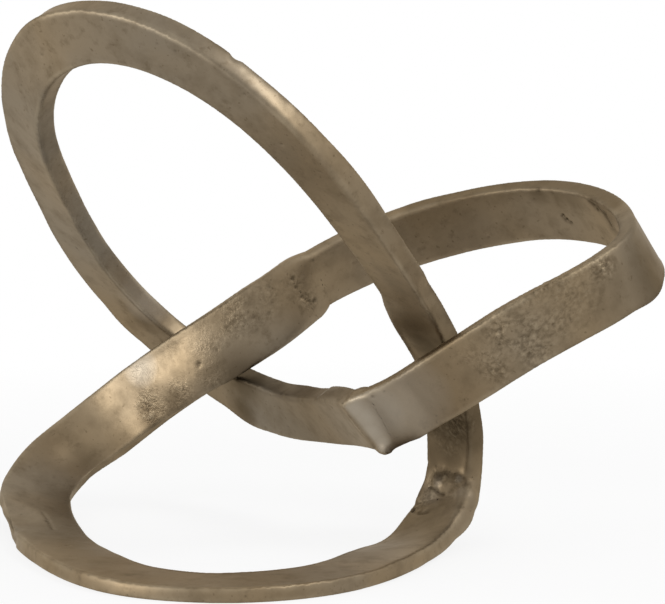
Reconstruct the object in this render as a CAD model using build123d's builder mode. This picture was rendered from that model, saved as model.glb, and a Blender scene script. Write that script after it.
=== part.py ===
"""Free-standing knot sculpture: three cast flat bars, butt-welded end to end into a three-lobed knot.

Frame: +X to the right, +Y to the back, +Z up, origin on the table under the middle of the knot.
"""
import os

from build123d import *

# Section of each casting in millimetres: across the wide face, and through the bar
UPPER_WIDTH = 30.0
UPPER_THICKNESS = 10.5
RIGHT_WIDTH = 34.0
RIGHT_THICKNESS = 8.5
LOWER_WIDTH = 38.0
LOWER_THICKNESS = 7.5
EDGE_RADIUS = 1.5

# Each weld fills the gap between two bar ends, this long, and stands a little proud of them
FRONT_WELD_LENGTH = 14.0
REAR_WELD_LENGTH = 14.0
SIDE_WELD_LENGTH = 22.0
WELD_CROWN = 0.6

# The underside is ground level by this much, so that the knot doesn't rock
BASE_GRIND = 0.3
BASE_HEIGHT = LOWER_THICKNESS / 2 - BASE_GRIND

# Where the upper loop passes behind another bar: the air left between the two, and how steeply it comes forward
# towards that bar's edges
CROSSING_GAP = 3.0
RIGHT_CROSSING_SLOPE = 0.5
LOWER_CROSSING_SLOPE = 0.35

# Largest spacing of the cross-sections along a bar
SECTION_PITCH = 24.0

# Middles of the three joints
FRONT_WELD = (25, -18, 70)
REAR_WELD = (-9, 101, 132)
SIDE_WELD = (69, 29, 28)

# Points inside the right loop and the lower loop that the upper loop passes behind
RIGHT_CROSSING = (55, -29, 95)
LOWER_CROSSING = (-84, 104, 84)


def behind(point, back, face, front_width, front_thickness, slope):
    """Station of the upper loop, with its wide face looking along face, behind a point inside another bar.

    The upper loop lies aslant there, so both its thickness and its width reach forward.
    """
    back = Vector(back).normalized()
    square = back.dot(Vector(face).normalized())
    upper_reach = UPPER_THICKNESS * square + UPPER_WIDTH * (1 - square**2) ** 0.5
    front_reach = front_thickness + front_width * slope
    return Vector(point) + back * ((upper_reach + front_reach) / 2 + CROSSING_GAP), face


# Stations along each casting: a point on the middle of the bar, and the way that its wide face looks there.
# Upper loop: from the side weld up behind the right loop, over the tip, down behind the lower loop, to the front weld
UPPER_STATIONS = [
    (SIDE_WELD, (7, 6.8, -1.8)),
    ((70, 19, 69), (7, 6, 4)),
    behind(RIGHT_CROSSING, (2, 9, 3), (6, 5, 6.5), RIGHT_WIDTH, RIGHT_THICKNESS, RIGHT_CROSSING_SLOPE),
    ((30, -56, 161), (5.5, 4.5, 7)),
    ((-15, -96, 219), (4.5, 5.5, 7)),
    ((-83, -92, 266), (4.5, 6.5, 5.5)),
    ((-118, -70, 271), (5.5, 7, 5)),
    ((-142, -38, 260), (7, 5.5, 4)),
    ((-153, -4, 238), (7.5, 4.5, 5)),
    ((-147, 63, 188), (6.5, 4, 7)),
    ((-119, 116, 131), (5.5, 5, 6.5)),
    behind(LOWER_CROSSING, (4, 9, 1), (5.5, 6, 5.5), LOWER_WIDTH, LOWER_THICKNESS, LOWER_CROSSING_SLOPE),
    ((-29, 95, 65), (7, 5.5, 4.5)),
    ((-6, 60, 64), (7.5, 4, 5.5)),
    (FRONT_WELD, (7.5, 3, 6)),
]
# Right loop: from the front weld forward and round the tip to the rear weld
RIGHT_STATIONS = [
    (FRONT_WELD, (0.5, 10, 2)),
    ((54, -26, 86), (2, 9.5, 3)),
    ((80, -38, 104), (2.5, 9.5, 2.5)),
    ((107, -47, 122), (0.5, 10, 1.5)),
    ((137, -44, 138), (-3.5, 9.5, -0.5)),
    ((160, -23, 151), (-8, 5.5, -3)),
    ((167, 8, 161), (-8.5, 1, -5)),
    ((159, 40, 170), (-8, -2.5, -5.5)),
    ((115, 90, 174), (-4.5, -7.5, -5)),
    ((52, 111, 159), (0.5, -9, -3.5)),
    (REAR_WELD, (4.5, -8.5, -2)),
]
# Lower loop: from the rear weld down the left arm, flat round the base, and up to the side weld
LOWER_STATIONS = [
    (REAR_WELD, (3, -9.5, 0)),
    ((-41, 94, 109), (0.5, -10, 0)),
    ((-74, 101, 87), (-4, -9, -1)),
    ((-103, 118, 66), (-4.5, -9, 0)),
    ((-134, 125, 41), (-1.5, -9, 4.5)),
    ((-158, 102, 21), (2.5, -5, 8.5)),
    ((-158, 64, 10), (2.5, -1.5, 9.5)),
    ((-149, 25, BASE_HEIGHT + 1), (1, 0, 10)),
    ((-124, -51, BASE_HEIGHT), (0.5, 0, 10)),
    ((-78, -115, BASE_HEIGHT), (0, 0, 10)),
    ((-39, -123, BASE_HEIGHT), (0, 0, 10)),
    ((-4, -106, BASE_HEIGHT), (0, 0, 10)),
    ((37, -37, BASE_HEIGHT + 0.7), (-1, 0, 10)),
    ((53, 0, BASE_HEIGHT + 4), (-3, -1, 9.5)),
    (SIDE_WELD, (-7, -5, 4.5)),
]


def face_between(share, shares, faces):
    """The wide face's direction part way along a bar, blended from the two stations around it."""
    for start, end, first, second in zip(shares, shares[1:], faces, faces[1:]):
        if share <= end:
            blend = (share - start) / (end - start)
            return first.normalized() * (1 - blend) + second.normalized() * blend
    return faces[-1]


def bar_planes(stations, first_gap, last_gap):
    """Section planes of one casting, each with its x axis across the wide face.

    The bar stops half a gap short of its first and last station, where the welds are.
    """
    points = [Vector(point) for point, face in stations]
    faces = [Vector(face) for point, face in stations]
    path = Spline(*points, mode=Mode.PRIVATE)
    shares = [path.param_at_point(point) for point in points]
    run = path.length - (first_gap + last_gap) / 2
    steps = round(run / SECTION_PITCH)
    planes = []
    for step in range(steps + 1):
        distance = first_gap / 2 + run * step / steps
        origin = path.position_at(distance, PositionMode.LENGTH)
        along = path.tangent_at(distance, PositionMode.LENGTH)
        face = face_between(path.param_at_point(origin), shares, faces)
        planes.append(Plane(origin, x_dir=face.cross(along), z_dir=along))
    return planes


def weld_planes(end, start):
    """Three section planes of a weld: one bar's end, the middle of the gap, and the next bar's start."""
    if end.x_dir.dot(start.x_dir) < 0:
        start = Plane(start.origin, x_dir=-start.x_dir, z_dir=start.z_dir)
    middle = Plane((end.origin + start.origin) / 2, x_dir=end.x_dir + start.x_dir, z_dir=end.z_dir + start.z_dir)
    return end, middle, start


def crown(first, second):
    """Size of a weld's middle section: the mean of the two bars, plus the crown on both sides."""
    return (first + second) / 2 + 2 * WELD_CROWN


upper_planes = bar_planes(UPPER_STATIONS, SIDE_WELD_LENGTH, FRONT_WELD_LENGTH)
right_planes = bar_planes(RIGHT_STATIONS, FRONT_WELD_LENGTH, REAR_WELD_LENGTH)
lower_planes = bar_planes(LOWER_STATIONS, REAR_WELD_LENGTH, SIDE_WELD_LENGTH)

with BuildPart() as upper_loop:
    for plane in upper_planes:
        with BuildSketch(plane):
            RectangleRounded(UPPER_WIDTH, UPPER_THICKNESS, EDGE_RADIUS)
    loft()

with BuildPart() as right_loop:
    for plane in right_planes:
        with BuildSketch(plane):
            RectangleRounded(RIGHT_WIDTH, RIGHT_THICKNESS, EDGE_RADIUS)
    loft()

with BuildPart() as lower_loop:
    for plane in lower_planes:
        with BuildSketch(plane):
            RectangleRounded(LOWER_WIDTH, LOWER_THICKNESS, EDGE_RADIUS)
    loft()
    split(bisect_by=Plane.XY, keep=Keep.TOP)

with BuildPart() as front_weld:
    end, middle, start = weld_planes(upper_planes[-1], right_planes[0])
    with BuildSketch(end):
        RectangleRounded(UPPER_WIDTH, UPPER_THICKNESS, EDGE_RADIUS)
    with BuildSketch(middle):
        RectangleRounded(crown(UPPER_WIDTH, RIGHT_WIDTH), crown(UPPER_THICKNESS, RIGHT_THICKNESS), EDGE_RADIUS)
    with BuildSketch(start):
        RectangleRounded(RIGHT_WIDTH, RIGHT_THICKNESS, EDGE_RADIUS)
    loft()

with BuildPart() as rear_weld:
    end, middle, start = weld_planes(right_planes[-1], lower_planes[0])
    with BuildSketch(end):
        RectangleRounded(RIGHT_WIDTH, RIGHT_THICKNESS, EDGE_RADIUS)
    with BuildSketch(middle):
        RectangleRounded(crown(RIGHT_WIDTH, LOWER_WIDTH), crown(RIGHT_THICKNESS, LOWER_THICKNESS), EDGE_RADIUS)
    with BuildSketch(start):
        RectangleRounded(LOWER_WIDTH, LOWER_THICKNESS, EDGE_RADIUS)
    loft()

with BuildPart() as side_weld:
    end, middle, start = weld_planes(lower_planes[-1], upper_planes[0])
    with BuildSketch(end):
        RectangleRounded(LOWER_WIDTH, LOWER_THICKNESS, EDGE_RADIUS)
    with BuildSketch(middle):
        RectangleRounded(crown(LOWER_WIDTH, UPPER_WIDTH), crown(LOWER_THICKNESS, UPPER_THICKNESS), EDGE_RADIUS)
    with BuildSketch(start):
        RectangleRounded(UPPER_WIDTH, UPPER_THICKNESS, EDGE_RADIUS)
    loft()

PIECES = {
    "upper_loop": upper_loop,
    "right_loop": right_loop,
    "lower_loop": lower_loop,
    "front_weld": front_weld,
    "rear_weld": rear_weld,
    "side_weld": side_weld,
}
os.makedirs("parts", exist_ok=True)
for name, piece in PIECES.items():
    piece.part.label = name
    export_step(piece.part, f"parts/{name}.step")
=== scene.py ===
"""Looks of the knot sculpture: cast bars and dressed welds under a satin antique-brass patina."""

import bmesh
import bpy
import numpy as np
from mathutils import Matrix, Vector, noise
from mathutils.bvhtree import BVHTree


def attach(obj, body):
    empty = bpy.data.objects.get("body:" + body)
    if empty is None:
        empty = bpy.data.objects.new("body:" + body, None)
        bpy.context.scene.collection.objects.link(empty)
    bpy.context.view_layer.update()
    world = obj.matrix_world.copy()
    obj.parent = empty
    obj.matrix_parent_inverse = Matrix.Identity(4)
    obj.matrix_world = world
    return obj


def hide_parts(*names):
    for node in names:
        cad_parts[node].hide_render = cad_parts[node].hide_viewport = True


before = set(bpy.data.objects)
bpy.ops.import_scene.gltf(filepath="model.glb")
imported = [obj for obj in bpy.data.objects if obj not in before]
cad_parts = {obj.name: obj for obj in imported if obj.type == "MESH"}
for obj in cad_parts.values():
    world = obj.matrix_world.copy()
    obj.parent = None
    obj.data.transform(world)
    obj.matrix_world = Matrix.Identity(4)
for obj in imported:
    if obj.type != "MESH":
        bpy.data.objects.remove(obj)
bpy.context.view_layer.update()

MM = 0.001
NODES = ["upper_loop", "right_loop", "lower_loop", "front_weld", "rear_weld", "side_weld"]

# The skin that stands for the solids: size of its cells, how often it is softened before and after it is
# pressed onto them and where welds were blended in, and how far it and its edges are let out in millimetres
SKIN_CELL = 0.95 * MM
FIRST_SOFTENING = 3
LAST_SOFTENING = 1
BLENDING = 60
LET_OUT = 0.3
EDGE_RISE = 0.45

# An edge is fully worn where a vertex stands this many millimetres proud of its neighbours, and the wear is
# softened this often
WORN_BULGE = 0.07
WEAR_SOFTENING = 1

# How often the rims of blended and lumpy weld patches are softened, and of crinkled patches and of patches
# of painted shade and dark patina
WELD_PATCH_SOFTENING = 4
PATCH_SOFTENING = 6

# Above the ground underside, marks start at this height and are full this much higher, in millimetres
GROUND_HEIGHT = 0.2
GROUND_FADE = 2.0

# Shading of edges: from this wear on, at most this many cells in from each side, how much of the plain
# faces' shading is carried on to them, and how fast their evening-out sets in with wear
EDGE_START = 0.1
EDGE_REACH = 3
EDGE_CRISPNESS = 0.8
EDGE_GAIN = 4

# How often shading is evened out along edges, on plain faces and over blended welds, and the depth of a pit
# in millimetres at which a face is no longer plain
EDGE_EVENING = 2
FACE_EVENING = 4
WELD_EVENING = 20
PIT_RIM = 0.1

# Unevenness of the hand-finished castings: (length of a wave, height, seed), with lengths in millimetres
SLOW_WAVE = (52.0, 0.8, 1)
HAMMERED_WAVE = (19.0, 0.22, 4)
CRINKLE_WAVE = (2.6, 0.35, 5)
LUMPY_WAVE = (5.5, 0.45, 6)
SAND_GRAIN = (2.0, 0.22, 7)

# The crinkle comes and goes: the wave of its strength, the share that it keeps to, and the least share
PATCHY_WAVE = (15.0, 1.0, 9)
CRINKLE_MEAN = 0.8
CRINKLE_LEAST = 0.2

# Millimetres at which a pit is dark with patina, a furrow dark with patina and painted shade, and a crest
# bright with a painted highlight, and the most that a furrow darkens
DARK_PIT = 0.9
DARK_FURROW = 0.3
BRIGHT_CREST = 0.3
FURROW_MOST = 0.45

# The front weld's facet starts where it looks this much to the front, and is full this much further
FACET_TURN = 0.58
FACET_FADE = 0.1

# Stray casting pores over the whole knot
PORE_SEED = 11
PORE_COUNT = 150
PORE_RADIUS = (0.9, 1.5)
PORE_DEPTH = (0.12, 0.4)

# Patches: (middle, radius, strength), with lengths in millimetres.
# Where welds and the bars next to them were ground into one another
BLENDED = [
    ((-9, 100, 132), 36, 0.7),
    ((65, 22, 36), 28, 0.9),
    ((32, -24, 77), 11, 1.0),
    ((36, -24, 70), 12, 1.0),
    ((40, -22, 63), 10, 1.0),
]
# Where the casting was left rough and crinkled
CRINKLED = [
    # Lower loop's left arm
    ((-102, 112, 84), 15, 0.35),
    ((-86, 102, 97), 10, 0.3),
    ((-66, 93, 102), 16, 0.45),
    ((-47, 90, 117), 20, 0.8),
    ((-34, 90, 126), 14, 0.6),
    ((-96, 110, 62), 14, 0.8),
    ((-80, 101, 70), 12, 0.7),
    ((-62, 93, 82), 12, 0.7),
    # Right loop's front arm
    ((140.6, -45.3, 153), 11, 1.0),
    ((127.5, -51.3, 146), 15, 1.0),
    ((113.7, -53.6, 139), 17, 1.0),
    ((103.8, -52.7, 130), 17, 1.0),
    ((94, -50, 120), 17, 1.0),
    ((104.6, -49.3, 113), 16, 1.0),
    ((88.3, -44.4, 104), 13, 0.9),
    ((80.2, -43.7, 109), 11, 0.7),
    ((118, -52, 128), 16, 0.7),
    ((130, -50, 134), 13, 0.5),
    # Fissure inside the right loop's tip
    ((147, 39.5, 180), 6, 0.8),
    ((152, 35, 174.5), 7, 0.9),
    ((156, 38, 167.5), 6, 0.7),
    # Upper loop's foot
    ((67, 18, 60), 15, 1.0),
    ((71, 11, 67), 12, 0.9),
    # Rear weld
    ((-8, 97, 124), 8, 0.7),
    ((-18, 93, 133), 10, 0.6),
    # Side weld
    ((61, 24, 31), 12, 0.9),
    ((55, 26, 20), 10, 0.8),
    ((71, 14, 29), 9, 0.6),
]
# Where a smooth spot shows in the crinkle
SMOOTH = [((95.5, -49.7, 120), 5.5, 0.9)]
# Where weld metal lies in lumps
LUMPY = [
    ((62, 23, 30), 15, 1.0),
    ((70, 12, 27), 13, 0.9),
    ((55, 25, 20), 10, 1.0),
    ((17, -15, 86), 6, 0.8),
]
# Where a weld was dressed bright
DRESSED = [
    ((17, -19, 79), 14, 1.0),
    ((23, -20, 74), 14, 1.0),
    ((26, -18, 66), 11, 1.0),
    ((31, -18, 60), 9, 0.9),
    ((30, -23, 76), 22, 0.9),
    ((42, -26, 82), 28, 0.55),
]
# Lighter, greyer spots: painted highlights on the upper loop's inner strand and the lower loop's arm,
# painted glints on the side weld's lumps, and polish on the lower loop's tip
POLISH_AND_HIGHLIGHTS = [
    ((-98, 113, 122), 15, 0.8),
    ((-105, 108, 128), 12, 0.5),
    ((-150, 45, 8), 70, 0.12),
    ((-104, 113, 84), 13, 0.7),
    ((73.5, 10.5, 27), 5, 0.25),
    ((61.5, 25.5, 32.7), 5, 0.6),
    ((73, 15.5, 35), 3, 0.6),
    ((58, 26, 24.5), 8, 0.35),
]
# Where the patina turned out taupe instead of brown
GREYED = [
    ((-152, 10, 225), 95, 1.0),
    ((-140, 75, 172), 75, 1.0),
    ((-80, -95, 262), 90, 0.8),
    ((-20, 75, 62), 60, 1.0),
    ((10, 10, 70), 40, 0.9),
    ((-150, 45, 8), 75, 0.8),
    ((165, -15, 150), 50, 0.8),
]
# Painted shade, partly also dark patina where polishing can't reach
SHADE_AND_DARK_PATINA = [
    # Upper loop, behind the right loop and down to its foot
    ((68, 16, 62), 30, 1.0),
    ((75, 8, 70), 22, 1.0),
    ((55, -20, 116), 22, 0.7),
    ((58, -35, 122), 14, 0.6),
    ((55, -14, 108), 16, 1.0),
    ((62, 28, 43), 14, 0.8),
    ((66, 25, 41), 16, 0.9),
    ((71.5, 18, 46), 14, 0.9),
    ((61, 29, 48), 14, 0.9),
    # Upper loop, behind the lower loop and along its low strand
    ((-46, 96, 79), 24, 0.85),
    ((-95, 116, 112), 14, 0.4),
    ((-45, 111, 60), 15, 0.9),
    ((-5, 50, 62), 55, 0.5),
    # Side weld
    ((62, 24, 25), 18, 0.35),
    # Right loop's tip, with the fissure and the top corner inside it
    ((174, -14, 147), 36, 1.0),
    ((150, -42, 136), 24, 0.3),
    ((147, 39, 180.5), 7, 0.7),
    ((152, 34, 174.5), 8, 0.7),
    ((156.5, 39, 166.5), 7, 0.6),
    ((119, 75, 183.5), 8, 0.5),
    ((128, 66, 183), 8, 0.5),
    ((137, 57, 182), 9, 0.5),
    # Lower edge of the lower loop's left arm
    ((-62, 95, 82), 11, 0.2),
    ((-84, 102, 66), 10, 0.7),
    ((-100, 111, 55), 12, 0.8),
    ((-114, 117, 53), 22, 0.4),
    ((-114, 113, 43), 14, 0.6),
    ((-133, 113, 29), 15, 0.5),
]
# Painted deep shade, nearly black, close behind another bar or above the side weld
PAINTED_DEEP_SHADE = [
    ((70, 14, 64), 20, 0.45),
    ((66, 24, 42), 15, 0.5),
    ((73, 17, 39), 8, 0.5),
    ((54, -12, 108), 12, 0.5),
    ((-44, 95, 80), 14, 0.5),
    ((-43, 107, 60), 11, 0.35),
]

# Pits that hold dark patina: (middle, radius, depth), in millimetres
PITS = [
    # Round the rear weld and along the lower loop's left arm
    ((-17, 94, 136), 1.9, 0.8),
    ((-15, 94, 131), 1.6, 0.6),
    ((-12, 95, 125.5), 1.8, 0.7),
    ((-5, 98, 123.5), 2.4, 0.8),
    ((-30, 90, 131.5), 1.9, 0.7),
    ((-30, 91, 117), 1.8, 0.6),
    ((-69, 95, 88), 2.2, 0.6),
    # Inside the right loop, and along its top corner
    ((131.6, 72, 172.7), 1.8, 0.9),
    ((133.7, 72, 170.5), 2.0, 1.0),
    ((136, 71, 169), 1.7, 0.8),
    ((150.8, 34.6, 176.5), 2.6, 0.7),
    ((148, 41, 178), 2.2, 0.6),
    ((118, 73, 186), 2.2, 0.7),
    # Round the base
    ((-132, -27, 7), 2.0, 0.7),
    ((-149, 36, 9), 1.8, 0.5),
    # At the ends of the front and side welds
    ((35.5, -18, 57), 1.4, 0.5),
    ((48.5, 28, 16), 2.4, 0.9),
]

# Broad rises and hollows of the hand-worked metal: (middle, radius, rise), in millimetres
RISES = [
    # Smooth boss on the right loop's front arm
    ((95.5, -49.7, 120), 7.0, 0.9),
    # Weld metal that stands proud at both ends of the front weld
    ((15, -16, 87), 8.0, 2.2),
    ((32, -16, 54.5), 7.0, 2.0),
    # Side weld: full along its outer edge, hollow at its inner edge, with lumps on its face and corner
    ((84, 15, 54), 26.0, 0.5),
    ((83, 18, 34), 22.0, 1.0),
    ((76, 4, 17), 20.0, 2.6),
    ((55.5, 31, 32), 14.0, -2.0),
    ((61, 26, 32.5), 6.0, 1.1),
    ((58, 26, 24), 8.0, 0.6),
    ((73, 16.5, 36), 4.0, 0.5),
    ((72, 13, 30), 6.0, 0.6),
    ((76.5, 9, 27), 8.0, 1.8),
    ((68.3, 15.5, 25.6), 5.0, 0.4),
    ((57, 19.7, 19), 4.0, 0.4),
    ((52, 22.7, 17), 3.5, 0.5),
    ((66, 5.7, 19), 5.0, 0.4),
    # Right loop's tip, fuller below
    ((168, -22, 137), 20.0, 1.6),
    # Lower loop's tip: fuller at its far side, ground back at its left side and inner edge
    ((-160, 117, 38), 22.0, 0.6),
    ((-172, 36, 11), 24.0, -1.9),
    ((-162, 9, 9), 4.0, -0.8),
    ((-134, 113, 30), 24.0, -1.6),
    # Upper loop: fuller edges by the lower loop's arm and above the right loop, a notch in its outer edge
    ((-42, 110, 55), 22.0, 1.5),
    ((-12.6, 57, 77), 24.0, 1.0),
    ((-110, 129, 109), 20.0, 1.5),
    ((43, -14, 120), 26.0, 1.6),
    ((16, -95, 194), 36.0, 1.0),
    ((-41.5, -108, 259), 4.5, -1.1),
]

# Crowns and hollows along a face or side: (points along it, radius, rise, the way it looks), in millimetres
CROWNS = [
    # Wide faces
    ([(-90, 106, 70), (-80.5, 101, 75), (-63, 93.6, 87.5), (-52, 91.5, 96)], 22.0, 1.7, (-0.45, -0.89, 0.0)),
    ([(30, -25, 83), (36, -24, 73), (42, -22, 63)], 18.0, 1.0, (-0.25, -0.92, -0.3)),
    ([(-103, 112, 87), (-89, 103, 98), (-74.5, 95.5, 110), (-57, 91, 121)], 15.0, -0.9, (-0.45, -0.89, 0.0)),
    # Narrow sides, let out or ground back
    ([(56, -44, 142), (62, -34, 131), (70, -20, 114)], 14.0, -1.6, (0.84, -0.54, -0.05)),
    ([(37, -19, 132), (43, -12, 122), (49, -2, 108)], 14.0, 1.6, (-0.84, 0.54, 0.05)),
    ([(4, 18, 80), (13, -8, 86)], 10.0, 1.8, (-0.57, -0.13, 0.81)),
    ([(57.6, 31.6, 56), (57.7, 33.7, 42)], 12.0, 1.3, (-0.9, -0.4, 0.0)),
    ([(-178, 60, 15), (-173, 36, 10), (-164, 8, 6)], 14.0, -2.2, (-0.95, -0.3, 0.0)),
    (
        [(-133, 112, 28), (-114, 114, 40), (-98, 110, 51), (-80, 102, 62), (-64, 95, 74)],
        12.0, -1.5, (0.5, -0.25, -0.83),
    ),
    (
        [(-63, -107.7, 269), (-39, -112, 253), (-17.6, -112, 231), (-3, -107, 214)],
        6.0, 0.5, (0.4, -0.79, 0.46),
    ),
]

# Painted shade on faces and sides that look one way: (points along one, radius, strength, the way it looks)
PAINTED_SHADE_FACES = [
    # Right loop's top side
    (
        [
            (50, 105, 177), (73, 100, 182), (98.6, 90, 187),
            (122.8, 73.5, 189.6), (146, 46, 187), (155.6, 24.6, 181.8),
        ],
        12.0, 0.6, (-0.36, -0.38, 0.85),
    ),
    # Top of the base's right arm
    ([(54, 16, 16), (46.7, 4.4, 9.8), (33.9, -25, 7), (21.7, -55, 7.3)], 27.0, 0.8, (-0.25, -0.05, 0.97)),
]

# Grooves: (points along one, radius, depth), in millimetres. Cracks hold dark patina, and seams don't
CRACKS = [
    ([(56, 29.4, 28.8), (60, 25, 28.4), (62, 22.4, 26.9), (65, 19, 26.4)], 1.3, 0.8),
    ([(48, 26.6, 15.7), (52, 18.3, 15.4), (56.6, 15.2, 17)], 1.2, 0.4),
    ([(-2, 96, 117), (-7, 96.5, 121), (-10, 95.5, 127)], 1.5, 0.3),
    ([(3, -103, 201), (-3, -98, 206), (-8, -95, 211)], 1.2, 0.25),
    ([(143, 45, 182), (148, 38.4, 179.2), (151, 36.5, 175), (154.5, 37.3, 169.8)], 1.7, 0.6),
    ([(-153.4, 50.5, 11.1), (-149, 39, 9.2), (-144, 18, 7.4)], 1.3, 0.3),
]
SEAMS = [
    (
        [(13, -15.5, 83), (12.5, -14, 78), (14, -10, 72), (17.5, -8, 66), (21.5, -9.5, 62), (27, -13, 57)],
        2.4, 0.35,
    ),
]


def joined_mesh(nodes):
    """All the solids' surfaces in one bmesh."""
    joined = bmesh.new()
    for node in nodes:
        joined.from_mesh(node.data)
    return joined


def even_skin(nodes):
    """One mesh of even cells over all the solids."""
    mesh = bpy.data.meshes.new("solids")
    joined = joined_mesh(nodes)
    joined.to_mesh(mesh)
    joined.free()
    carrier = bpy.data.objects.new("solids", mesh)
    bpy.context.scene.collection.objects.link(carrier)
    remesh = carrier.modifiers.new("even_cells", "REMESH")
    remesh.mode = "VOXEL"
    remesh.voxel_size = SKIN_CELL
    depsgraph = bpy.context.evaluated_depsgraph_get()
    skin = bpy.data.meshes.new_from_object(carrier.evaluated_get(depsgraph))
    bpy.data.objects.remove(carrier)
    bpy.data.meshes.remove(mesh)
    return skin


def read_vectors(mesh, attribute):
    """Vertex positions or normals of a mesh as an array."""
    values = np.zeros(len(mesh.vertices) * 3, np.float32)
    mesh.vertices.foreach_get(attribute, values)
    return values.reshape(-1, 3).astype(float)


def place_vertices(mesh, points):
    """Moves the vertices of a mesh to these places in millimetres."""
    mesh.vertices.foreach_set("co", (points * MM).astype(np.float32).ravel())
    mesh.update()


class Neighbours:
    """Averages over the vertices next to each vertex."""

    def __init__(self, mesh):
        edges = np.zeros(len(mesh.edges) * 2, np.int32)
        mesh.edges.foreach_get("vertices", edges)
        self.first, self.second = edges.reshape(-1, 2).T
        self.count = len(mesh.vertices)
        self.degree = np.maximum(np.bincount(edges, minlength=self.count), 1)

    def mean(self, values):
        """Mean of the values next to each vertex."""
        if values.ndim == 2:
            return np.stack([self.mean(column) for column in values.T], axis=1)
        total = np.bincount(self.first, values[self.second], self.count)
        total += np.bincount(self.second, values[self.first], self.count)
        return total / self.degree

    def soften(self, values, passes):
        """The values, each drawn half-way to the mean next to it this many times."""
        for _ in range(passes):
            values = values / 2 + self.mean(values) / 2
        return values


def pressed_onto(points, nodes):
    """The nearest places on the solids."""
    joined = joined_mesh(nodes)
    tree = BVHTree.FromBMesh(joined)
    joined.free()
    return np.array([tree.find_nearest(Vector(point) * MM)[0] for point in points]) / MM


def waves(points, wave):
    """Smooth noise from about -height to height at each point."""
    length, height, seed = wave
    offset = Vector((seed, seed * 2.0, seed * 3.0))
    return height * np.array([noise.noise(Vector(point) / length + offset) for point in points])


def creases(points, wave):
    """Rounded wrinkles with narrow furrows between them, in millimetres."""
    length, height, seed = wave
    folds = np.abs(waves(points, (length, 1.0, seed)))
    # Doubled, and sunk by half the height, so that furrows lie below the surface and crests above it
    return height * (folds * 2 - 0.5)


def faded(points, middle, radius):
    """1 at a place, falling to 0 at the radius."""
    offsets = points - np.array(middle)
    return np.clip(1 - np.einsum("ij,ij->i", offsets, offsets) / radius**2, 0, 1)


def patches(points, places):
    """The strongest of the soft-edged patches at each point, from 0 to 1."""
    strength = np.zeros(len(points))
    for middle, radius, most in places:
        strength = np.maximum(strength, most * faded(points, middle, radius))
    return strength


def rounds(points, places):
    """Sum of the round rises, or of the round pits, at each point in millimetres."""
    amount = np.zeros(len(points))
    for middle, radius, most in places:
        amount += most * faded(points, middle, radius) ** 2
    return amount


def along(points, corners, radius, most):
    """Rise of a crown, depth of a groove or strength of a patch along a line of corners."""
    amount = np.zeros(len(points))
    for start, end in zip(np.array(corners), np.array(corners)[1:]):
        run = end - start
        share = np.clip((points - start) @ run / (run @ run), 0, 1)
        amount = np.maximum(amount, faded(points - share[:, None] * run, start, radius))
    return most * amount**2


def looking(normals, way):
    """1 where the skin looks this way, falling to 0 where it looks sideways."""
    return np.clip(normals @ np.array(way), 0, 1)


def stray_pores(points):
    """Small casting pores at chance places."""
    chance = np.random.default_rng(PORE_SEED)
    places = chance.choice(len(points), PORE_COUNT, replace=False)
    radii = chance.uniform(*PORE_RADIUS, PORE_COUNT)
    depths = chance.uniform(*PORE_DEPTH, PORE_COUNT)
    return [(points[place], radius, depth) for place, radius, depth in zip(places, radii, depths)]


def crisp_normals(neighbours, normals, wear):
    """Normals of the plain faces, carried on to the middle of the bars' edges."""
    known = (wear < EDGE_START).astype(float)
    carried = normals * known[:, None]
    for _ in range(EDGE_REACH):
        share = neighbours.mean(known)
        fresh = (known == 0) & (share > 0)
        carried[fresh] = neighbours.mean(carried)[fresh] / share[fresh][:, None]
        known[fresh] = 1
    carried[known == 0] = normals[known == 0]
    return carried


def shading_normals(mesh, neighbours, wear, blended, crinkled, lumpy, pits):
    """Normals to shade the skin with: crisp along edges, even on plain faces, smooth over blended welds."""
    edges = np.clip(wear * EDGE_GAIN, 0, 1)
    plain = (1 - wear) * (1 - crinkled) * (1 - lumpy) * (1 - np.clip(pits / PIT_RIM, 0, 1))
    welds = blended * (1 - lumpy) * (1 - crinkled)
    shaded = read_vectors(mesh, "normal")
    shaded += (crisp_normals(neighbours, shaded, wear) - shaded) * (EDGE_CRISPNESS * (1 - blended))[:, None]
    for passes, share in ((EDGE_EVENING, edges), (FACE_EVENING, plain), (WELD_EVENING, welds)):
        shaded += (neighbours.soften(shaded, passes) - shaded) * share[:, None]
    return shaded / np.linalg.norm(shaded, axis=1, keepdims=True)


def note_marks(mesh, notes, shaded):
    """Keeps the marks on the skin for the patina, with its painted shade and highlights, and the normals to
    shade it with.
    """
    for name, values in notes.items():
        layer = mesh.attributes.new(name, "FLOAT", "POINT")
        layer.data.foreach_set("value", values.astype(np.float32))
    facing = mesh.attributes.new("facing", "FLOAT_VECTOR", "POINT")
    facing.data.foreach_set("vector", shaded.astype(np.float32).ravel())


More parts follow.
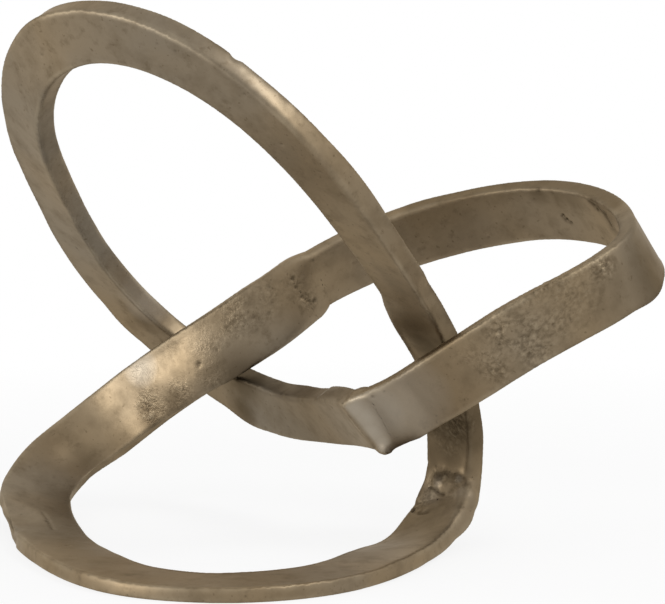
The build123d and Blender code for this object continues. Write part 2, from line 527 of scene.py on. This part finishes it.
def shape_skin(mesh, nodes):
    """Presses the skin onto the solids, and works in and notes the marks of casting and finishing and where
    shade and highlights are painted.
    """
    neighbours = Neighbours(mesh)
    points = neighbours.soften(read_vectors(mesh, "co") / MM, FIRST_SOFTENING)
    points = neighbours.soften(pressed_onto(points, nodes), LAST_SOFTENING)
    blended = neighbours.soften(patches(points, BLENDED), WELD_PATCH_SOFTENING)
    points = points + (neighbours.soften(points, BLENDING) - points) * blended[:, None]
    place_vertices(mesh, points)
    normals = read_vectors(mesh, "normal")
    bulge = np.einsum("ij,ij->i", points - neighbours.mean(points), normals)
    wear = neighbours.soften(np.clip(bulge / WORN_BULGE, 0, 1), WEAR_SOFTENING)

    crinkled = neighbours.soften(patches(points, CRINKLED), PATCH_SOFTENING)
    uneven = np.clip(CRINKLE_MEAN + waves(points, PATCHY_WAVE), CRINKLE_LEAST, 1)
    crinkled *= uneven * (1 - patches(points, SMOOTH))
    lumpy = neighbours.soften(patches(points, LUMPY), WELD_PATCH_SOFTENING)
    # Painted shade, partly also dark patina in recesses
    shade_and_dark_patina = neighbours.soften(patches(points, SHADE_AND_DARK_PATINA), PATCH_SOFTENING)
    # Faces that look one way get painted shade
    for line, radius, strength, way in PAINTED_SHADE_FACES:
        shade_and_dark_patina = np.maximum(shade_and_dark_patina, along(points, line, radius, strength) * looking(normals, way))
    greyed = patches(points, GREYED)
    # The dressed facet ends sharply where the bar turns away to the left
    facet = np.clip((-normals[:, 1] - FACET_TURN) / FACET_FADE, 0, 1)
    # Dressed facet, with painted highlights and polish
    dressed_and_highlights = np.maximum(patches(points, DRESSED) * facet, patches(points, POLISH_AND_HIGHLIGHTS))

    pits = rounds(points, PITS) + rounds(points, stray_pores(points))
    for crack in CRACKS:
        pits += along(points, *crack)
    height = LET_OUT + rounds(points, RISES) - pits
    for seam in SEAMS:
        height -= along(points, *seam)
    for line, radius, rise, way in CROWNS:
        height += along(points, line, radius, rise) * looking(normals, way)
    furrows = crinkled * (creases(points, CRINKLE_WAVE) + waves(points, SAND_GRAIN))
    lumps = lumpy * waves(points, LUMPY_WAVE)
    height += waves(points, SLOW_WAVE) + waves(points, HAMMERED_WAVE) + furrows
    height += lumps
    # The ground underside stays flat
    free = np.clip((points[:, 2] - GROUND_HEIGHT) / GROUND_FADE, 0, 1)
    points += normals * (height * free)[:, None]
    place_vertices(mesh, points)
    # The edges' own rise comes after their shading is settled
    shaded = shading_normals(mesh, neighbours, wear, blended, crinkled, lumpy, pits)
    points += normals * (EDGE_RISE * wear * free)[:, None]
    points[:, 2] = np.maximum(points[:, 2], 0)
    place_vertices(mesh, points)

    # Furrows darken with patina and with painted shade
    dark_furrows = np.clip(-furrows / DARK_FURROW, 0, FURROW_MOST)
    # Black patina in pits, painted shade in furrows, and painted deep shade
    pits_and_shade = np.clip(pits / DARK_PIT, 0, 1) + dark_furrows + patches(points, PAINTED_DEEP_SHADE)
    notes = {
        "wear": wear,
        "crinkled": crinkled,
        # Crests of crinkle and lumps, where highlights are painted
        "crest": np.clip((furrows + lumps) / BRIGHT_CREST, 0, 1),
        "greyed": greyed,
        "shade_and_dark_patina": shade_and_dark_patina,
        "dressed_and_highlights": dressed_and_highlights,
        "pits_and_shade": np.clip(pits_and_shade, 0, 1),
    }
    note_marks(mesh, notes, shaded)


def nearest_nodes(mesh, nodes):
    """Number of the solid that each face of the skin lies on."""
    joined = joined_mesh(nodes)
    tree = BVHTree.FromBMesh(joined)
    joined.free()
    owners = np.repeat(range(len(nodes)), [len(node.data.polygons) for node in nodes])
    return [owners[tree.find_nearest(face.center)[2]] for face in mesh.polygons]


def cut_out(mesh, owners, number, name):
    """The closed piece of the skin that lies on one solid, shaded as part of the whole skin."""
    piece = bmesh.new()
    piece.from_mesh(mesh)
    piece.faces.ensure_lookup_table()
    others = [piece.faces[index] for index, owner in enumerate(owners) if owner != number]
    bmesh.ops.delete(piece, geom=others, context="FACES")
    for face in piece.faces:
        face.smooth = True
    rims = [edge for edge in piece.edges if edge.is_boundary]
    ends = bmesh.ops.holes_fill(piece, edges=rims, sides=0)["faces"]
    bmesh.ops.triangulate(piece, faces=ends)
    result = bpy.data.meshes.new(name)
    piece.to_mesh(result)
    piece.free()
    facing = np.zeros(len(result.vertices) * 3, np.float32)
    result.attributes["facing"].data.foreach_get("vector", facing)
    result.normals_split_custom_set_from_vertices(facing.reshape(-1, 3).tolist())
    result.attributes.remove(result.attributes["facing"])
    made = bpy.data.objects.new(name, result)
    bpy.context.scene.collection.objects.link(made)
    return made


class Shade:
    """A socket of a material's nodes that takes part in Python expressions."""

    def __init__(self, tree, socket=None):
        self.tree = tree
        self.socket = socket

    def node(self, kind, settings, inputs, output=0):
        """Adds any node: its settings first, then the values or links of its sockets."""
        made = self.tree.nodes.new(kind)
        for name, value in settings.items():
            if name == "stops":
                for element, (place, level) in zip(made.color_ramp.elements, value):
                    element.position = place
                    element.color = (level, level, level, 1.0)
            else:
                setattr(made, name, value)
        for name, value in inputs.items():
            if isinstance(value, Shade):
                self.tree.links.new(value.socket, made.inputs[name])
            else:
                made.inputs[name].default_value = value
        return Shade(self.tree, made.outputs[output] if len(made.outputs) else None)

    def math(self, operation, first, second):
        """Adds a Math node on two values."""
        return self.node("ShaderNodeMath", {"operation": operation}, {0: first, 1: second})

    def __add__(self, other):
        return self.math("ADD", self, other)

    def __radd__(self, other):
        return self.math("ADD", other, self)

    def __mul__(self, other):
        return self.math("MULTIPLY", self, other)

    def __rmul__(self, other):
        return self.math("MULTIPLY", other, self)


def clamped(value):
    """The value, held between 0 and 1."""
    return value.node("ShaderNodeClamp", {}, {"Value": value})


def between(value, low, high):
    """0 below low and 1 above high."""
    return value.node("ShaderNodeValToRGB", {"stops": ((low, 0.0), (high, 1.0))}, {"Fac": value})


def mixed(share, first, second):
    """Colour between two colours."""
    settings = {"data_type": "RGBA", "blend_type": "MIX"}
    return share.node("ShaderNodeMix", settings, {0: share, 6: first, 7: second}, 2)


def noise_at(place, size, detail, roughness):
    """Noise with features of about this size, in millimetres."""
    inputs = {"Vector": place, "Scale": 1 / (size * MM), "Detail": detail, "Roughness": roughness}
    return place.node("ShaderNodeTexNoise", {"noise_dimensions": "3D"}, inputs)


def mottling(place, marks):
    """0 to 1 in irregular marks."""
    size, detail, roughness, low, high = marks
    return between(noise_at(place, size, detail, roughness), low, high)


# Colours of the patina and of the metal that shows through it, also used for painted shade and highlights
BROWN = (0.236, 0.176, 0.106, 1.0)
TAUPE = (0.204, 0.173, 0.131, 1.0)
UMBER = (0.092, 0.066, 0.038, 1.0)
# Rubbed metal, also the colour of painted glints and highlights on crests
RUBBED_AND_GLINT_BRASS = (0.42, 0.35, 0.245, 1.0)
# Black of the patina in pits, also of painted shade
PIT_AND_SHADE_BLACK = (0.030, 0.021, 0.012, 1.0)
# Dressed metal, also the grey of painted highlights
DRESSED_AND_HIGHLIGHT_GREY = (0.345, 0.30, 0.238, 1.0)
GRAZING_TINT = (0.88, 0.78, 0.65, 1.0)

# Marks in the patina and painted glints, each: (size in millimetres, detail, roughness, noise at its rim,
# noise where full)
CLOUDS = (60, 2, 0.5, 0.35, 0.65)
BLOTCHES = (13, 4, 0.6, 0.45, 0.80)
SMUDGES = (7, 4, 0.65, 0.56, 0.70)
DOTS = (2.4, 1, 0.5, 0.70, 0.76)
SPECKS = (1.4, 3, 0.7, 0.52, 0.68)
# Painted glints on crinkled metal
GLINTS = (2.0, 3, 0.6, 0.56, 0.70)
RUBBING = (24, 3, 0.5, 0.38, 0.66)

# How much each mark, painted shade and painted highlight shows in the colour
CLOUD_SHARE = 0.4
GREYED_SHARE = 0.8
BLOTCH_SHARE = 0.45
SMUDGE_SHARE = 0.35
DOT_SHARE = 0.5
PLAIN_SPECK_SHARE = 0.04
CRINKLED_SPECK_SHARE = 0.6
RUBBED_SHARE = 0.35
SHADE_AND_DARK_PATINA_SHARE = 0.85
CREST_SHARE = 0.25
GLINT_SHARE = 0.3
PITS_AND_SHADE_SHARE = 0.8

# Roughness of smooth castings and welds, and what blotches, crinkle and wear add to it
CAST_SATIN = 0.40
WELD_SATIN = 0.38
BLOTCH_ROUGHNESS = 0.08
CRINKLE_ROUGHNESS = 0.04
WEAR_ROUGHNESS = 0.12

# Grain that is shaded but not shaped: (size in millimetres, detail, roughness), how much the fine one shows
# on plain and on crinkled metal and the coarse one everywhere, and how strong and deep both are
FINE_GRAIN = (1.4, 3, 0.6)
COARSE_GRAIN = (9.0, 2, 0.5)
PLAIN_FINE_SHARE = 0.02
CRINKLED_FINE_SHARE = 1.7
COARSE_SHARE = 0.3
GRAIN_STRENGTH = 0.6
GRAIN_DEPTH = 0.6 * MM


def patina(name, satin):
    """Antique-brass patina over cast metal, with painted shade, highlights and glints, and with this
    roughness where it is smooth.
    """
    material = bpy.data.materials.new(name)
    material.use_nodes = True
    tree = material.node_tree
    tree.nodes.clear()
    start = Shade(tree)
    place = start.node("ShaderNodeTexCoord", {}, {}, "Object")
    wear, crinkled, crest, greyed, shade_and_dark_patina, dressed_and_highlights, pits_and_shade = [
        start.node("ShaderNodeAttribute", {"attribute_name": note}, {}, "Fac")
        for note in ("wear", "crinkled", "crest", "greyed", "shade_and_dark_patina", "dressed_and_highlights", "pits_and_shade")
    ]
    blotches = mottling(place, BLOTCHES)
    smudges = mottling(place, SMUDGES)
    specks = mottling(place, SPECKS) * (PLAIN_SPECK_SHARE + crinkled * CRINKLED_SPECK_SHARE)
    glints = mottling(place, GLINTS) * crinkled
    rubbed = clamped(wear * mottling(place, RUBBING))
    colour = mixed(clamped(mottling(place, CLOUDS) * CLOUD_SHARE + greyed * GREYED_SHARE), BROWN, TAUPE)
    colour = mixed(blotches * BLOTCH_SHARE + smudges * SMUDGE_SHARE, colour, UMBER)
    colour = mixed(mottling(place, DOTS) * DOT_SHARE, colour, UMBER)
    # Dressed facet, painted highlights and polish
    colour = mixed(dressed_and_highlights, colour, DRESSED_AND_HIGHLIGHT_GREY)
    colour = mixed(specks, colour, UMBER)
    colour = mixed(rubbed * RUBBED_SHARE, colour, RUBBED_AND_GLINT_BRASS)
    # Painted shade, partly also dark patina in recesses
    colour = mixed(shade_and_dark_patina * SHADE_AND_DARK_PATINA_SHARE, colour, UMBER)
    # Painted highlights on crests and painted glints in the crinkle, partly also rubbed high points
    colour = mixed(clamped(crest * CREST_SHARE + glints * GLINT_SHARE), colour, RUBBED_AND_GLINT_BRASS)
    # Black patina in pits, with painted shade
    colour = mixed(pits_and_shade * PITS_AND_SHADE_SHARE, colour, PIT_AND_SHADE_BLACK)
    roughness = satin + blotches * BLOTCH_ROUGHNESS + crinkled * CRINKLE_ROUGHNESS + wear * WEAR_ROUGHNESS
    fine = noise_at(place, *FINE_GRAIN) * (PLAIN_FINE_SHARE + crinkled * CRINKLED_FINE_SHARE)
    relief = fine + noise_at(place, *COARSE_GRAIN) * COARSE_SHARE
    grain = {"Strength": GRAIN_STRENGTH, "Distance": GRAIN_DEPTH, "Height": relief}
    inputs = {
        "Base Color": colour,
        "Metallic": 1.0,
        "Roughness": roughness,
        "Specular Tint": GRAZING_TINT,
        "Normal": start.node("ShaderNodeBump", {}, grain, "Normal"),
    }
    surface = start.node("ShaderNodeBsdfPrincipled", {}, inputs)
    start.node("ShaderNodeOutputMaterial", {}, {"Surface": surface})
    return material


solids = [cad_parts[name] for name in NODES]
skin = even_skin(solids)
shape_skin(skin, solids)
owners = nearest_nodes(skin, solids)
cast_finish = patina("cast_patina", CAST_SATIN)
weld_finish = patina("dressed_weld_patina", WELD_SATIN)
for number, name in enumerate(NODES):
    is_weld = name.endswith("weld")
    piece = cut_out(skin, owners, number, name + "_skin")
    piece.data.materials.append(weld_finish if is_weld else cast_finish)
    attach(piece, "root")
    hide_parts(name)
bpy.data.meshes.remove(skin)

# Pale floor: half its side and where it fades into the white surroundings, in metres, its colour, and how
# much of it is shown as plain white
FLOOR_HALF = 3.0
FLOOR_FADE = (0.35, 0.9)
FLOOR_COLOUR = (0.88, 0.88, 0.88, 1.0)
FLOOR_WHITE_SHARE = 0.85

# White surroundings: their colour, how brightly they light the knot, and how brightly they are shown
WHITE = (1.0, 1.0, 1.0, 1.0)
LIT_STRENGTH = 0.7
SHOWN_STRENGTH = 1.0


def shown_white(start):
    """1 for rays that show the surroundings: from the camera, in reflections and through glass."""
    camera_ray, glossy_ray, transmission_ray = [
        start.node("ShaderNodeLightPath", {}, {}, output)
        for output in ("Is Camera Ray", "Is Glossy Ray", "Is Transmission Ray")
    ]
    return clamped(camera_ray + glossy_ray + transmission_ray)


floor_mesh = bpy.data.meshes.new("floor")
corners = [(x * FLOOR_HALF, y * FLOOR_HALF, 0) for x, y in ((-1, -1), (1, -1), (1, 1), (-1, 1))]
floor_mesh.from_pydata(corners, [], [(0, 1, 2, 3)])
floor = bpy.data.objects.new("floor", floor_mesh)
bpy.context.scene.collection.objects.link(floor)
floor_finish = bpy.data.materials.new("pale_floor")
floor_finish.use_nodes = True
floor_finish.node_tree.nodes.clear()
floor_start = Shade(floor_finish.node_tree)
pale = floor_start.node("ShaderNodeBsdfDiffuse", {}, {"Color": FLOOR_COLOUR})
white = floor_start.node("ShaderNodeEmission", {}, {"Color": WHITE, "Strength": SHOWN_STRENGTH})
clear = floor_start.node("ShaderNodeBsdfTransparent", {}, {})
whitened = shown_white(floor_start) * FLOOR_WHITE_SHARE
ground = floor_start.node("ShaderNodeMixShader", {}, {0: whitened, 1: pale, 2: white})
floor_place = floor_start.node("ShaderNodeTexCoord", {}, {}, "Object")
away = floor_start.node("ShaderNodeVectorMath", {"operation": "LENGTH"}, {0: floor_place}, "Value")
beyond = between(away, *FLOOR_FADE)
floor_surface = floor_start.node("ShaderNodeMixShader", {}, {0: beyond, 1: ground, 2: clear})
floor_start.node("ShaderNodeOutputMaterial", {}, {"Surface": floor_surface})
floor.data.materials.append(floor_finish)

world = bpy.data.worlds.new("white_studio")
bpy.context.scene.world = world
world.use_nodes = True
world.node_tree.nodes.clear()
world_start = Shade(world.node_tree)
lit = world_start.node("ShaderNodeBackground", {}, {"Color": WHITE, "Strength": LIT_STRENGTH})
shown = world_start.node("ShaderNodeBackground", {}, {"Color": WHITE, "Strength": SHOWN_STRENGTH})
sky = world_start.node("ShaderNodeMixShader", {}, {0: shown_white(world_start), 1: lit, 2: shown})
world_start.node("ShaderNodeOutputWorld", {}, {"Surface": sky})

# Middle of the knot, which the lights shine on, in metres
LIGHT_AIM = (0, 0, 0.13)


def soft_light(name, place, size, power):
    """A rectangular soft light of this many watts, with its place and size in metres."""
    lamp = bpy.data.lights.new(name, "AREA")
    lamp.shape = "RECTANGLE"
    lamp.size, lamp.size_y = size
    lamp.energy = power
    holder = bpy.data.objects.new(name, lamp)
    holder.location = place
    holder.rotation_euler = (Vector(LIGHT_AIM) - Vector(place)).to_track_quat("-Z", "Y").to_euler()
    bpy.context.scene.collection.objects.link(holder)


soft_light("top_light", (0.78, -0.45, 1.05), (0.4, 0.35), 4.8)
soft_light("left_light", (-1.12, -0.46, 0.08), (0.8, 0.3), 6.0)

# Camera where the photograph was taken from: its place and aim in metres, sensor and lens in millimetres
CAMERA_PLACE = (0.00517, -1.4301, 0.26084)
CAMERA_AIM = (0.00517, 0.01831, 0.12963)
SENSOR_WIDTH = 36.0
LENS = 148.5
camera_data = bpy.data.cameras.new("camera")
camera_data.sensor_width = SENSOR_WIDTH
camera_data.lens = LENS
camera = bpy.data.objects.new("camera", camera_data)
camera.location = CAMERA_PLACE
camera.rotation_euler = (Vector(CAMERA_AIM) - camera.location).to_track_quat("-Z", "Y").to_euler()
bpy.context.scene.collection.objects.link(camera)
bpy.context.scene.camera = camera

bpy.context.scene.view_settings.view_transform = "Standard"
